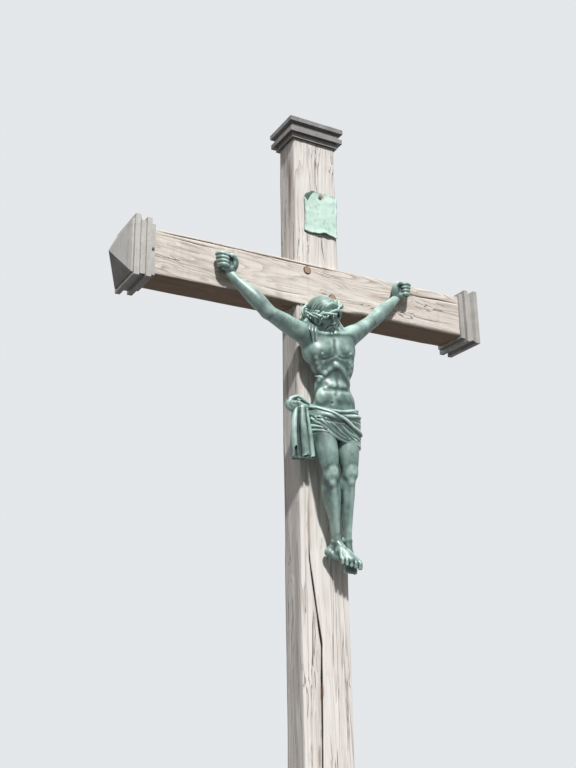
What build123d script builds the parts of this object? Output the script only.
from build123d import *
import os
from math import cos, pi, sin, sqrt

# Wayside cross: an oak post and crossbeam with sheet-metal end caps, a small
# plaque, and a cast figure nailed to the front. Millimetres, +Z up. The front
# of the cross looks along -Y. The origin lies at ground level, in the middle
# of the foot of the post.

# Timber
post_foot_width = 214.0
post_top_width = 203.0
post_depth = 130.0
beam_mid = 3250.0
beam_height = 190.0
beam_depth = 150.0
beam_reach = 723.0
post_reach = 677.0
arris = 5.0

# Pegs
peg_radius = 17.5
peg_proud = 3.0
peg_crown = 2.0
upper_peg = (-55.0, 61.0)
lower_peg = (62.0, -42.0)

# Sheet-metal caps, measured outward from the bare timber
collar_length = 20.0
collar_lip = 10.0
inner_ring_length = 20.0
inner_ring_lip = 26.0
neck_length = 28.0
neck_lip = 15.0
outer_ring_length = 20.0
outer_ring_lip = 29.0
ring_slope = 8.0
fillet_length = 6.0
point_length = 60.0

# Plaque
plaque_width = 158.0
plaque_height = 196.0
plaque_sheet = 2.5
plaque_kick = 9.0
plaque_centre = 20.0
plaque_mid = 342.0
nail_radius = 3.0
nail_head_radius = 8.0
nail_head_length = 4.0
nail_depth = 40.0

# Figure: heights below the middle of the beam, depths ahead of the post
seat = 0.3
chest_width = 206.0
chest_depth = 124.0
waist_width = 158.0
waist_depth = 100.0
hip_width = 188.0
hip_depth = 120.0
neck_radius = 30.0
shoulder_radius = 36.0
elbow_radius = 25.0
wrist_radius = 16.5
thigh_radius = 46.0
knee_radius = 29.0
calf_radius = 30.0
ankle_radius = 19.0
head_width = 106.0
head_depth = 128.0
hair_thickness = 9.0
stem_radius = 4.6
stem_offset = 5.2
crown_turns = 7
thorn_count = 14
thorn_length = 16.0
cloth_thickness = 9.0
belt_radius = 9.0
loop_radius = 19.0
fold_radius = 6.0
roll_radius = 10.0
finger_radius = 8.4
finger_pitch = 17.2
thumb_radius = 10.5
toe_radius = 7.0

# Derived planes
post_front = -post_depth / 2
beam_front = -beam_depth / 2
post_top = beam_mid + post_reach
cap_length = (collar_length + inner_ring_length + neck_length
              + outer_ring_length + fillet_length)

parts = {}


def at(x, ahead, up):
    """A point of the figure: across, ahead of the post's middle, above the beam's middle."""
    return Vector(x, -ahead, beam_mid + up)


def station(centre, normal, half_wide, half_deep, across=Vector(1, 0, 0)):
    """An elliptical section, its long axis held near the given direction."""
    normal = normal.normalized()
    side = across - normal * across.dot(normal)
    return Plane(origin=centre, x_dir=side, z_dir=normal) * Ellipse(half_wide, half_deep)


def limb(stops, across=Vector(1, 0, 0), grow=0.0, round_start=True, round_end=True):
    """A limb lofted through round sections square to its bent centre line."""
    points = [stop[0] for stop in stops]
    wide = [stop[1] + grow for stop in stops]
    deep = [(stop[2] if len(stop) > 2 else stop[1]) + grow for stop in stops]
    last = len(points) - 1
    ways = []
    for i in range(last + 1):
        way = points[min(i + 1, last)] - points[max(i - 1, 0)]
        ways.append(way.normalized())
    sections = []
    if round_start:
        for share in (0.88, 0.5):
            small = sqrt(1 - share * share)
            centre = points[0] - ways[0] * (share * min(wide[0], deep[0]))
            sections.append(station(centre, ways[0], wide[0] * small, deep[0] * small, across))
    for i in range(last + 1):
        sections.append(station(points[i], ways[i], wide[i], deep[i], across))
    if round_end:
        for share in (0.5, 0.88):
            small = sqrt(1 - share * share)
            centre = points[last] + ways[last] * (share * min(wide[last], deep[last]))
            sections.append(
                station(centre, ways[last], wide[last] * small, deep[last] * small, across))
    return loft(sections)


def ball(centre, half_wide, half_deep, half_high):
    """An ellipsoid made by scaling a sphere."""
    shape = scale(Sphere(1.0), by=(half_wide, half_deep, half_high))
    return Pos(centre) * shape


def slab(x_low, x_high, y_low, y_high, z_low, z_high):
    """A box between limits."""
    middle = Vector((x_low + x_high) / 2, (y_low + y_high) / 2, (z_low + z_high) / 2)
    return Pos(middle) * Box(x_high - x_low, y_high - y_low, z_high - z_low)


# Post, tapered toward the top, its long arrises taken off
def post_section(height, width):
    outline = RectangleRounded(width, post_depth, arris)
    return Plane(origin=(0, 0, height)) * outline


timber_top = post_top + cap_length
slope = (post_top_width - post_foot_width) / post_top
timber_top_width = post_foot_width + slope * timber_top
post = loft([post_section(0, post_foot_width), post_section(timber_top, timber_top_width)])

# Crossbeam, halved over the post
timber_reach = beam_reach + cap_length
beam = Box(2 * timber_reach, beam_depth, beam_height)
beam = fillet(beam.edges().filter_by(Axis.X), arris)
beam = Pos(0, 0, beam_mid) * beam
front_half = slab(-timber_reach, timber_reach, -beam_depth, 0,
                  beam_mid - beam_height / 2, beam_mid + beam_height / 2)
back_half = slab(-timber_reach, timber_reach, 0, beam_depth,
                 beam_mid - beam_height, beam_mid + beam_height)
halved_post = post - front_half
halved_beam = beam - (post & back_half) - slab(
    -post_top_width / 2, post_top_width / 2, post_depth / 2, beam_depth,
    beam_mid - beam_height, beam_mid + beam_height)

# Oak pegs through the halved joint
peg_length = peg_proud + beam_depth / 2 + post_depth / 2
peg = Cylinder(peg_radius, peg_length, align=(Align.CENTER, Align.CENTER, Align.MIN))
peg = chamfer(peg.edges().sort_by(Axis.Z)[-1], peg_crown)
for name, (across, up) in (("peg_upper", upper_peg), ("peg_lower", lower_peg)):
    placed = Pos(across, post_depth / 2, beam_mid + up) * Rot(X=90) * peg
    parts[name] = placed
    hole = Pos(across, 0, beam_mid + up) * Rot(X=90) * Cylinder(peg_radius, 2 * beam_depth)
    halved_post -= hole
    halved_beam -= hole


# End caps
def frame_band(low, high, width, depth, lip_low, lip_high):
    """A band round the timber whose lip may change along its length."""
    foot = Plane(origin=(0, 0, low)) * Rectangle(width + 2 * lip_low, depth + 2 * lip_low)
    head = Plane(origin=(0, 0, high)) * Rectangle(width + 2 * lip_high, depth + 2 * lip_high)
    return loft([foot, head])


def end_cap(width, depth):
    """Sleeve, two standing rings and a pyramid point, with the timber's end at Z 0."""
    ring_1 = collar_length
    ring_1_end = ring_1 + inner_ring_length
    ring_2 = ring_1_end + neck_length
    ring_2_end = ring_2 + outer_ring_length
    timber = Pos(0, 0, cap_length / 2) * Box(width, depth, cap_length)
    sleeve = frame_band(0, ring_1, width, depth, collar_lip, collar_lip)
    sleeve += frame_band(ring_1, cap_length, width, depth, neck_lip, neck_lip)
    sleeve -= timber
    core = frame_band(ring_1, cap_length, width, depth, neck_lip, neck_lip)
    inner_ring = frame_band(ring_1, ring_1_end, width, depth, inner_ring_lip, inner_ring_lip)
    inner_ring -= core
    outer_ring = frame_band(
        ring_2 - ring_slope, ring_2, width, depth, neck_lip + 0.5, outer_ring_lip)
    outer_ring += frame_band(ring_2, ring_2_end, width, depth, outer_ring_lip, outer_ring_lip)
    outer_ring -= core
    base = Plane(origin=(0, 0, cap_length)) * Rectangle(
        width + 2 * neck_lip, depth + 2 * neck_lip)
    tip = Plane(origin=(0, 0, cap_length + point_length)) * Rectangle(1.0, 1.0)
    point = loft([base, tip])
    return {"sleeve": sleeve, "inner_ring": inner_ring,
            "outer_ring": outer_ring, "point": point}


beam_cap = end_cap(beam_height, beam_depth)
for name, piece in beam_cap.items():
    right = Pos(beam_reach, 0, beam_mid) * Rot(Y=90) * piece
    parts["right_cap_" + name] = right
    parts["left_cap_" + name] = right.mirror(Plane.YZ)
post_cap_width = post_foot_width + slope * post_top
for name, piece in end_cap(post_cap_width, post_depth).items():
    parts["top_cap_" + name] = Pos(0, 0, post_top) * piece

# Plaque: a bent sheet, its foot kicked forward, hung on one nail
plaque_low = beam_mid + plaque_mid - plaque_height / 2
plaque_high = plaque_low + plaque_height
side_line = Spline(
    (post_front, plaque_high), (post_front - 1.0, plaque_high - plaque_height * 0.45),
    (post_front - plaque_kick * 0.4, plaque_low + plaque_height * 0.2),
    (post_front - plaque_kick, plaque_low))
side_face = make_face(
    [side_line,
     Line(side_line @ 1, (side_line @ 1) - Vector(plaque_sheet, 0)),
     Pos(-plaque_sheet, 0) * side_line,
     Line(side_line @ 0, (side_line @ 0) - Vector(plaque_sheet, 0))])
plaque = extrude(Plane.YZ * side_face, amount=plaque_width)
plaque = Pos(plaque_centre - plaque_width / 2, 0, 0) * plaque
plaque_nail_up = plaque_high - 0.12 * plaque_height


def nail(shank_length):
    """A forged nail along Z, its head at the top and its point at the bottom."""
    shank = Cylinder(nail_radius, shank_length, align=(Align.CENTER, Align.CENTER, Align.MAX))
    head = Cone(nail_head_radius, nail_head_radius * 0.6, nail_head_length,
                align=(Align.CENTER, Align.CENTER, Align.MIN))
    return shank + head


def nail_hole(centre, length):
    """The hole for a nail's shank, running back along Y."""
    return Pos(centre) * Rot(X=90) * Cylinder(
        nail_radius, length, align=(Align.CENTER, Align.CENTER, Align.MAX))


nail_seat = Vector(plaque_centre, post_front - plaque_sheet - 0.8, plaque_nail_up)
parts["plaque_nail"] = Pos(nail_seat) * Rot(X=90) * nail(nail_depth)
parts["plaque"] = plaque - parts["plaque_nail"]
halved_post -= nail_hole(nail_seat, nail_depth)

# Torso: sections from the neck to the crotch
down = Vector(0, 0, -1)
post_face = post_depth / 2


def torso(grow=0.0):
    rows = (
        (-222, -14, 66, 34, 34),
        (-246, -6, 68, chest_width * 0.34, chest_depth * 0.40),
        (-276, 0, 71, chest_width * 0.46, chest_depth * 0.47),
        (-322, 4, 73, chest_width * 0.50, chest_depth * 0.50),
        (-376, 5, 70, chest_width * 0.475, chest_depth * 0.485),
        (-432, 7, 64, chest_width * 0.425, chest_depth * 0.44),
        (-482, 9, 61, waist_width * 0.50, waist_depth * 0.50),
        (-532, 11, 62, hip_width * 0.46, hip_depth * 0.46),
        (-592, 12, 64, hip_width * 0.50, hip_depth * 0.50),
        (-648, 12, 66, hip_width * 0.45, hip_depth * 0.46),
        (-690, 12, 66, hip_width * 0.30, hip_depth * 0.36),
    )
    sections = []
    for up, across, ahead, half_wide, half_deep in rows:
        centre = at(across, post_face + ahead, up)
        sections.append(station(centre, down, half_wide + grow, half_deep + grow))
    return loft(sections)


left_shoulder = at(-92, post_face + 70, -268)
right_shoulder = at(90, post_face + 66, -240)
body = torso()
for across, ahead, up, half_wide, half_deep, half_high in (
        (-42, 92, -318, 48, 38, 40),
        (46, 90, -302, 48, 38, 40),
        (0, 66, -508, 58, 57, 58)):
    body += ball(at(across, post_face + ahead, up), half_wide, half_deep, half_high)
for root, shoulder in ((at(-34, post_face + 74, -306), left_shoulder),
                       (at(40, post_face + 72, -292), right_shoulder)):
    body += limb([(root, shoulder_radius), (shoulder, shoulder_radius + 4)], round_end=False)
for side, low_up in ((-1, -440), (1, -430)):
    body += limb([(at(-2 + side * 8, post_face + 118, -384), 8),
                  (at(-2 + side * 34, post_face + 112, -402), 8),
                  (at(-2 + side * 60, post_face + 94, low_up), 8)])

# Neck and head, bowed forward and leaning to the left
head_top = at(-50, post_face + 116, -94)
chin = at(-18, post_face + 88, -252)
face_way = Vector(0.10, -0.95, -0.31).normalized()
head_axis = (chin - head_top).normalized()


def head_form(grow=0.0):
    span = (chin - head_top).length
    rows = (
        (0.00, 0.12, 0.12), (0.03, 0.24, 0.26), (0.12, 0.40, 0.42), (0.28, 0.49, 0.50),
        (0.46, 0.50, 0.49), (0.64, 0.43, 0.42), (0.80, 0.33, 0.34), (0.93, 0.20, 0.22),
        (1.00, 0.08, 0.09),
    )
    sections = []
    for share, wide, deep in rows:
        centre = head_top + head_axis * (span * share)
        sections.append(
            station(centre, head_axis, head_width * wide + grow, head_depth * deep + grow))
    return loft(sections)


neck_stops = (
    (at(-8, post_face + 64, -246), neck_radius + 4),
    (at(-16, post_face + 74, -216), neck_radius),
    (at(-26, post_face + 86, -186), neck_radius),
)
neck = limb(neck_stops)
head = head_form()
body = (body + neck) - head

# Face: plain brow, nose and a pointed beard
head_side = Vector(0.97, 0.10, 0.17)


def on_head(down_axis, ahead, across=0.0):
    """A point given along the head's axis, out to the face and across."""
    return head_top + head_axis * down_axis + face_way * ahead + head_side * across


features = limb([(on_head(70, 44, -30), 8), (on_head(64, 57), 8), (on_head(70, 44, 30), 8)],
                across=Vector(0, 0, 1))
features += limb([(on_head(66, 57), 7), (on_head(84, 63), 6), (on_head(99, 67), 8)])
for side in (-1, 1):
    features += ball(on_head(82, 46, side * 20), 13, 8, 5)
    features += ball(on_head(95, 38, side * 27), 17, 13, 13)
    features += limb([(on_head(114, 36, side * 22), 6), (on_head(109, 45, side * 11), 7),
                      (on_head(106, 50), 5)])
    features += limb([(on_head(100, 18, side * 36), 10), (on_head(126, 28, side * 25), 13),
                      (on_head(150, 38, side * 8), 14)])
features += limb([(on_head(122, 37), 22, 13), (on_head(142, 38), 24, 16),
                  (on_head(166, 40), 17, 14), (on_head(188, 42), 7, 7)])
features = features - body
parts["head"] = head + features

# Hair: a cap over the skull with locks down to the shoulders
hair_face = Plane(origin=on_head(50, 50), z_dir=Vector(0.1, -0.84, -0.53))
hair_low = at(-26, post_face + 56, -258)
hair_stops = []
for down_axis, share in ((-9, 0.18), (-4, 0.42), (10, 0.74), (34, 0.95), (64, 1.0), (92, 1.0)):
    hair_stops.append((on_head(down_axis, -4), (head_width / 2 + hair_thickness) * share,
                       (head_depth / 2 + hair_thickness) * share))
hair_stops.append((at(-30, post_face + 70, -228), head_width * 0.55, head_depth * 0.36))
hair_stops.append((hair_low, head_width * 0.52, head_depth * 0.30))
hair = limb(hair_stops, round_start=False)
hair = split(hair, bisect_by=hair_face, keep=Keep.BOTTOM)
for root, fall, tip in (((-92, 84, -186), (-108, 110, -236), (-110, 122, -290)),
                        ((-80, 80, -196), (-91, 112, -240), (-88, 126, -284)),
                        ((18, 72, -178), (32, 88, -206), (44, 98, -236))):
    hair += limb([(at(root[0], post_face + root[1], root[2]), 13),
                  (at(fall[0], post_face + fall[1], fall[2]), 11),
                  (at(tip[0], post_face + tip[1], tip[2]), 7)])
hair = hair - head_form(seat) - features - body - limb(neck_stops, grow=seat)

# Crown: two thorn stems wound round each other, the thorns set through both
brow = head_top + head_axis * 54
crown_plane = Plane(origin=brow, x_dir=Vector(0.97, 0.08, 0.22), z_dir=-head_axis)
crown_half_wide = head_width / 2 + hair_thickness + stem_offset
crown_half_deep = head_depth / 2 + hair_thickness + stem_offset - 2


def crown_point(angle, out=0.0, rise=0.0):
    """A point near the ring's line, in the plane of the crown."""
    return ((crown_half_wide + out) * cos(angle), (crown_half_deep + out) * sin(angle), rise)


def stem(start):
    """One stem, winding round the ring's line, swept in two halves."""
    points = []
    count = crown_turns * 6
    for i in range(count):
        angle = 2 * pi * i / count
        twist = crown_turns * angle + start
        points.append(crown_point(angle, stem_offset * cos(twist), stem_offset * sin(twist)))
    line = Spline(*points, periodic=True)
    halves = []
    for start_share in (0, 0.5):
        half = line.trim(start_share, start_share + 0.5)
        halves.append(sweep(Plane(origin=half @ 0, z_dir=half % 0) * Circle(stem_radius), path=half))
    return halves[0] + halves[1]


spikes = []
for i in range(thorn_count):
    angle = 2 * pi * (i + 0.5) / thorn_count
    lean = Vector(cos(angle), sin(angle), 0.7 if i % 2 else -0.5)
    spike = Plane(origin=crown_point(angle), z_dir=lean) * Cone(
        stem_radius * 0.7, 0.5, thorn_length, align=(Align.CENTER, Align.CENTER, Align.MIN))
    spikes.append(spike)
crown = crown_plane * (stem(0) + stem(pi) + spikes)

# Arms
up_way = Vector(0, 0, 1)
left_elbow = at(-282, post_face + 83, -190)
left_wrist = at(-422, post_face + 35, -38)
right_elbow = at(226, post_face + 58, -128)
right_wrist = at(372, post_face + 33, 12)


def arm(shoulder, elbow, wrist):
    """Shoulder, upper arm, elbow and forearm in one run."""
    upper = elbow - shoulder
    lower = wrist - elbow
    return limb([
        (shoulder, shoulder_radius),
        (shoulder + upper * 0.22, shoulder_radius * 0.97),
        (shoulder + upper * 0.50, elbow_radius * 1.26),
        (shoulder + upper * 0.78, elbow_radius * 1.10),
        (elbow, elbow_radius),
        (elbow + lower * 0.22, elbow_radius * 1.08),
        (elbow + lower * 0.50, elbow_radius * 0.95),
        (elbow + lower * 0.80, wrist_radius * 1.12),
        (wrist, wrist_radius),
    ], across=up_way, round_end=False)


def hand(side, wrist, elbow):
    """A closed hand, its back to the wood, four fingers folded over the palm."""
    way = (wrist - elbow).normalized()
    middle = wrist + Vector(side * 12, 0, 36)

    def by_middle(out, ahead, up):
        return middle + Vector(side * out, -ahead, up)

    palm = limb([
        (wrist, wrist_radius),
        (wrist + way * 14 + Vector(0, 2, 3), wrist_radius * 1.2, wrist_radius * 0.95),
        (by_middle(0, -4, -2), wrist_radius * 1.9, wrist_radius * 0.95),
        (by_middle(2, -4, 24), wrist_radius * 1.6, wrist_radius * 0.9),
    ], round_start=False)
    digits = []
    for i in range(4):
        up = finger_pitch * (1.5 - i)
        digits.append(limb([
            (by_middle(22, -2, up + 3), finger_radius),
            (by_middle(36, 7, up + 2), finger_radius),
            (by_middle(34, 24, up), finger_radius),
            (by_middle(18, 30, up - 3), finger_radius * 0.95),
            (by_middle(4, 24, up - 6), finger_radius * 0.85),
        ], across=Vector(0, 0, 1)))
    digits.append(limb([
        (by_middle(-10, 2, -26), thumb_radius * 1.1),
        (by_middle(-24, 6, -6), thumb_radius),
        (by_middle(-24, 12, 14), thumb_radius * 0.9),
        (by_middle(-10, 20, 27), thumb_radius * 0.75),
    ]))
    return palm + digits


beam_wood = slab(-timber_reach, timber_reach, beam_front, 0,
                 beam_mid - beam_height / 2, beam_mid + beam_height / 2)
post_wood = slab(-post_foot_width, post_foot_width, post_front, 0, 0, post_top)
arms = {}
for name, side, shoulder, elbow, wrist in (
        ("left", -1, left_shoulder, left_elbow, left_wrist),
        ("right", 1, right_shoulder, right_elbow, right_wrist)):
    whole = arm(shoulder, elbow, wrist) - body - head - beam_wood
    arms[name] = whole.solids().sort_by(SortBy.VOLUME)[-1]
    held = hand(side, wrist, elbow) - arms[name] - beam_wood
    palm_nail = wrist + Vector(side * 12, 0, 34)
    palm_nail = Vector(palm_nail.X, beam_front - 26, palm_nail.Z)
    hole = nail_hole(palm_nail, nail_depth + 26)
    halved_beam -= hole
    pin = Pos(palm_nail) * Rot(X=90) * nail(nail_depth + 26)
    parts[name + "_hand_nail"] = pin
    held = held - pin
    parts[name + "_hand"] = held.solids().sort_by(SortBy.VOLUME)[-1]
    parts[name + "_arm"] = arms[name]

hair = hair - arms["left"] - arms["right"]
hair = hair.solids().sort_by(SortBy.VOLUME)[-1]
parts["hair"] = hair
parts["crown_of_thorns"] = (crown - parts["head"] - hair).solids().sort_by(SortBy.VOLUME)[-1]

# Legs
left_knee = at(-38, post_face + 113, -815)
left_ankle = at(22, post_face + 52, -1056)
right_knee = at(53, post_face + 108, -800)
right_ankle = at(74, post_face + 42, -1046)


def leg(hip, knee, ankle, grow=0.0):
    """Thigh, knee, calf and ankle in one run."""
    upper = knee - hip
    lower = ankle - knee
    calf = Vector(0, 10, 0)
    return limb([
        (hip, thigh_radius),
        (hip + upper * 0.35, thigh_radius * 0.93),
        (hip + upper * 0.70, thigh_radius * 0.80),
        (knee, knee_radius),
        (knee + lower * 0.18 + calf * 0.5, knee_radius * 0.98),
        (knee + lower * 0.38 + calf, calf_radius),
        (knee + lower * 0.62 + calf * 0.6, calf_radius * 0.86),
        (knee + lower * 0.85, ankle_radius * 1.08),
        (ankle, ankle_radius),
    ], grow=grow, round_end=False)


left_hip = at(-32, post_face + 68, -625)
right_hip = at(58, post_face + 70, -625)
left_leg = leg(left_hip, left_knee, left_ankle) - body
right_leg = leg(right_hip, right_knee, right_ankle) - body - left_leg
left_leg = left_leg.solids().sort_by(SortBy.VOLUME)[-1]
right_leg = right_leg.solids().sort_by(SortBy.VOLUME)[-1]


# Feet, the left one laid over the right and one nail through both
def foot(side, ankle, heel, ball_of_foot, toes):
    instep = (ankle + ball_of_foot) * 0.5
    whole = limb([
        (heel, 17, 18),
        ((heel + ball_of_foot) * 0.5, 21, 17),
        (ball_of_foot, 27, 11),
    ], round_end=False)
    whole += limb([(ankle, ankle_radius), (instep, ankle_radius, 15),
                   (ball_of_foot, 20, 9)], round_start=False, round_end=False)
    way = toes - ball_of_foot
    for i in range(5):
        root = ball_of_foot + Vector(side * (21 - 10.5 * i), 0, 0) - way * 0.15
        whole += limb([(root, toe_radius), (root + way * (1.0 - 0.08 * i), toe_radius * 0.9)])
    return whole


left_foot = foot(1, left_ankle, at(6, post_face + 26, -1092), at(58, post_face + 92, -1128),
                 at(74, post_face + 112, -1152))
right_foot = foot(-1, right_ankle, at(78, post_face + 20, -1084), at(72, post_face + 40, -1146),
                  at(66, post_face + 54, -1174))
left_foot = left_foot - left_leg - right_leg - post_wood
right_foot = right_foot - right_leg - left_leg - left_foot - post_wood
left_foot = left_foot.solids().sort_by(SortBy.VOLUME)[-1]
right_foot = right_foot.solids().sort_by(SortBy.VOLUME)[-1]
foot_nail_seat = at(38, post_face + 84, -1088)
foot_nail_length = 84 + nail_depth
foot_pin = Pos(foot_nail_seat) * Rot(X=90) * nail(foot_nail_length)
halved_post -= nail_hole(foot_nail_seat, foot_nail_length)
parts["foot_nail"] = foot_pin
parts["left_foot"] = (left_foot - foot_pin).solids().sort_by(SortBy.VOLUME)[-1]
parts["right_foot"] = (right_foot - foot_pin).solids().sort_by(SortBy.VOLUME)[-1]
parts["left_leg"] = left_leg - foot_pin
parts["right_leg"] = right_leg - foot_pin

# Loincloth: wrapped round the hips over both thighs
wrap_rows = (
    (-546, 11, 62, hip_width * 0.47, hip_depth * 0.46),
    (-592, 12, 66, hip_width * 0.50, hip_depth * 0.50),
    (-640, 12, 72, hip_width * 0.51, hip_depth * 0.49),
    (-700, 12, 84, hip_width * 0.49, hip_depth * 0.44),
)
wrap = loft([
    station(at(across, post_face + ahead, up), down,
            half_wide + cloth_thickness, half_deep + cloth_thickness)
    for up, across, ahead, half_wide, half_deep in wrap_rows])
for stops in (
        ((-87, 99, -606), (-35, 129, -650), (7, 137, -668), (60, 131, -684), (100, 106, -688)),
        ((-60, 118, -612), (-30, 129, -634), (8, 136, -650), (50, 131, -662), (94, 109, -660)),
        ((-97, 76, -618), (-78, 102, -642), (-50, 120, -664))):
    wrap += limb([(at(across, post_face + ahead, up), fold_radius)
                  for across, ahead, up in stops])
hem = Plane(origin=at(12, post_face, -672), z_dir=Vector(-0.28, 0.1, -1))
wrap = split(wrap, bisect_by=hem, keep=Keep.BOTTOM)

# Sash: one roll round the waist and one slung down to the right, crossing at the front
wrap_half_wide = hip_width * 0.49 + cloth_thickness
roll_half_deep = hip_depth * 0.48 + cloth_thickness - belt_radius


def roll(ahead, middle_up, fall, radius):
    """A roll of cloth round the hips; fall is how far it drops from left to right."""
    way = Vector(2 * wrap_half_wide, 0, -fall)
    plane = Plane(origin=at(11, post_face + ahead, middle_up), x_dir=way,
                  z_dir=way.cross(Vector(0, 1, 0)))
    line = plane * Ellipse(way.length / 2, roll_half_deep).edge()
    return sweep(Plane(origin=line @ 0, z_dir=line % 0) * Circle(radius), path=line)


def level_roll(grow=0.0):
    return roll(74, -548, -6, belt_radius + grow)


def slanting_roll(grow=0.0):
    return roll(83, -594, 84, belt_radius + 1 + grow)


post_seat = Pos(0, -seat, 0) * post_wood
sash = level_roll() + slanting_roll() - torso(seat) - post_seat
sash = sash.solids().sort_by(SortBy.VOLUME)[-1]
parts["sash"] = sash
for name in ("left_leg", "right_leg"):
    parts[name] -= slanting_roll(seat)
wrap = wrap - level_roll(seat) - slanting_roll(seat) - torso(seat)
wrap = wrap - leg(left_hip, left_knee, left_ankle, seat)
wrap = wrap - leg(right_hip, right_knee, right_ankle, seat) - post_seat
wrap = wrap.solids().sort_by(SortBy.VOLUME)[-1]
parts["loincloth"] = wrap


# Knot: a loop of cloth standing out at the left hip, and the hanging tail
knot_centre = at(-170, post_face + 72, -545)
knot = Pos(knot_centre) * Rot(X=52, Y=-14) * Torus(loop_radius, roll_radius)
knot += limb([(knot_centre + Vector(loop_radius, 0, 2), roll_radius),
              (at(-126, post_face + 76, -548), roll_radius * 1.3),
              (at(-96, post_face + 66, -548), roll_radius)])
knot = (knot - sash - wrap - torso(seat)).solids().sort_by(SortBy.VOLUME)[-1]
parts["knot"] = knot


def folds(height, width, depth, thick, centre):
    """The wavy cross-section of a hanging cloth."""
    count = 12
    front = []
    back = []
    for i in range(count + 1):
        along = (i / count - 0.5) * width
        wave = depth * cos(2 * pi * i * 2.5 / count)
        front.append((along, -wave - thick / 2))
        back.append((along, -wave + thick / 2))
    edge_front = Spline(*front)
    edge_back = Spline(*back)
    face = make_face([edge_front, edge_back, Line(front[0], back[0]),
                      Line(front[-1], back[-1])])
    return Plane(origin=centre + Vector(0, 0, height)) * face


tail_top = at(-146, post_face + 72, -545)
tail = loft([
    folds(-6, 36, 4, 8, tail_top),
    folds(-40, 42, 6, 7, tail_top + Vector(2, 0, 0)),
    folds(-96, 66, 9, 6, tail_top + Vector(7, 0, 0)),
    folds(-212, 98, 13, 5, tail_top + Vector(17, 0, 0)),
])
tail = tail - knot - wrap - sash - leg(left_hip, left_knee, left_ankle, seat)
parts["hanging_cloth"] = tail.solids().sort_by(SortBy.VOLUME)[-1]

parts["torso"] = body
parts["post"] = halved_post
parts["crossbeam"] = halved_beam

os.makedirs("parts", exist_ok=True)
for name, shape in parts.items():
    shape.label = name
    export_step(shape, "parts/" + name + ".step")
